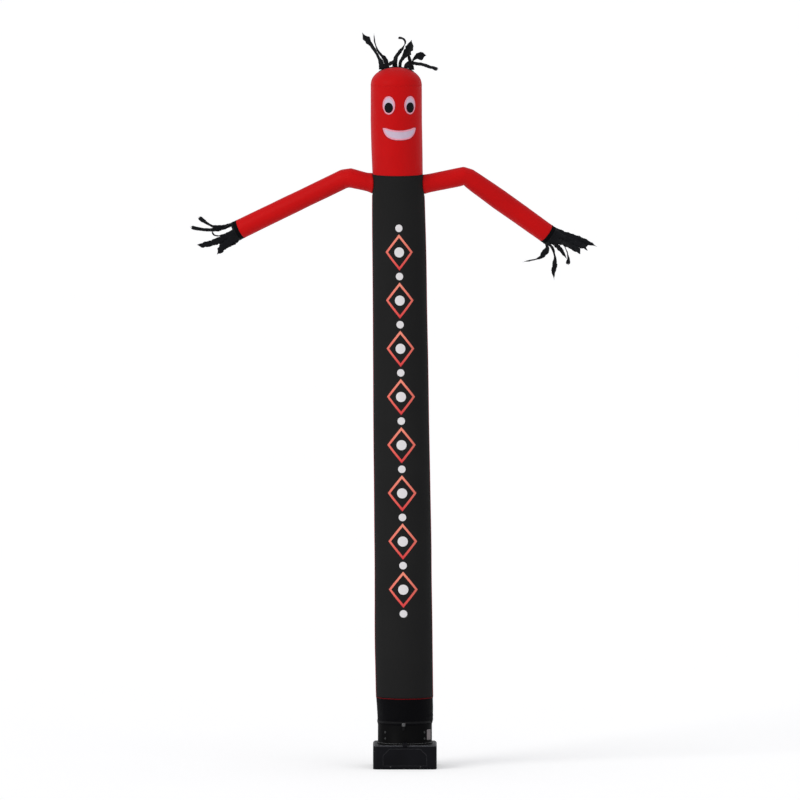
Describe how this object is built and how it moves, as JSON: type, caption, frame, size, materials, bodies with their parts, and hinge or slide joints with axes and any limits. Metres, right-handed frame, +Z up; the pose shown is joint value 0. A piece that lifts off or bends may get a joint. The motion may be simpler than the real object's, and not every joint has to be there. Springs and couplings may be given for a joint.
{
  "type": "inflatable air dancer on a blower base",
  "caption": "Tall inflated cloth tube figure with a smiling head, bent arms, ribbon hands and hair, strapped by its foot sleeve to a square blower base.",
  "frame": {"origin": "middle of the blower's underside, on the ground", "axes": "+Z up along the standing tube, +X to the viewer's right, -Y towards the front, where the face looks"},
  "size_m": [3.704, 0.7554, 6.7085],
  "materials": {
    "red_cloth": "satin coated nylon, bright red",
    "black_cloth": "matte printed nylon, charcoal black",
    "sleeve_cloth": "matte black nylon and webbing",
    "white_cloth": "matte white nylon",
    "black_plastic": "satin moulded black",
    "grey_metal": "dull grey"
  },
  "bodies": {
    "root": {"arm_left": "red_cloth", "arm_right": "red_cloth", "crown": "red_cloth", "head": "red_cloth", "hem_piping": "red_cloth", "side_piping_left": "red_cloth", "side_piping_right": "red_cloth", "body_back": "black_cloth", "body_front": "black_cloth", "cuff_left": "sleeve_cloth", "cuff_right": "sleeve_cloth", "foot_sleeve": "sleeve_cloth", "hair": "sleeve_cloth", "hand_left": "sleeve_cloth", "hand_right": "sleeve_cloth", "pupil_left": "sleeve_cloth", "pupil_right": "sleeve_cloth", "strap": "sleeve_cloth", "eye_white_left": "white_cloth", "eye_white_right": "white_cloth", "mouth": "white_cloth", "base_latch": "black_plastic", "blower_base": "black_plastic", "outlet_ring": "black_plastic", "ring_bolt_1": "grey_metal", "ring_bolt_2": "grey_metal", "ring_bolt_3": "grey_metal", "ring_bolt_4": "grey_metal", "ring_plate": "grey_metal", "strap_buckle": "grey_metal"}
  },
  "joints": []
}
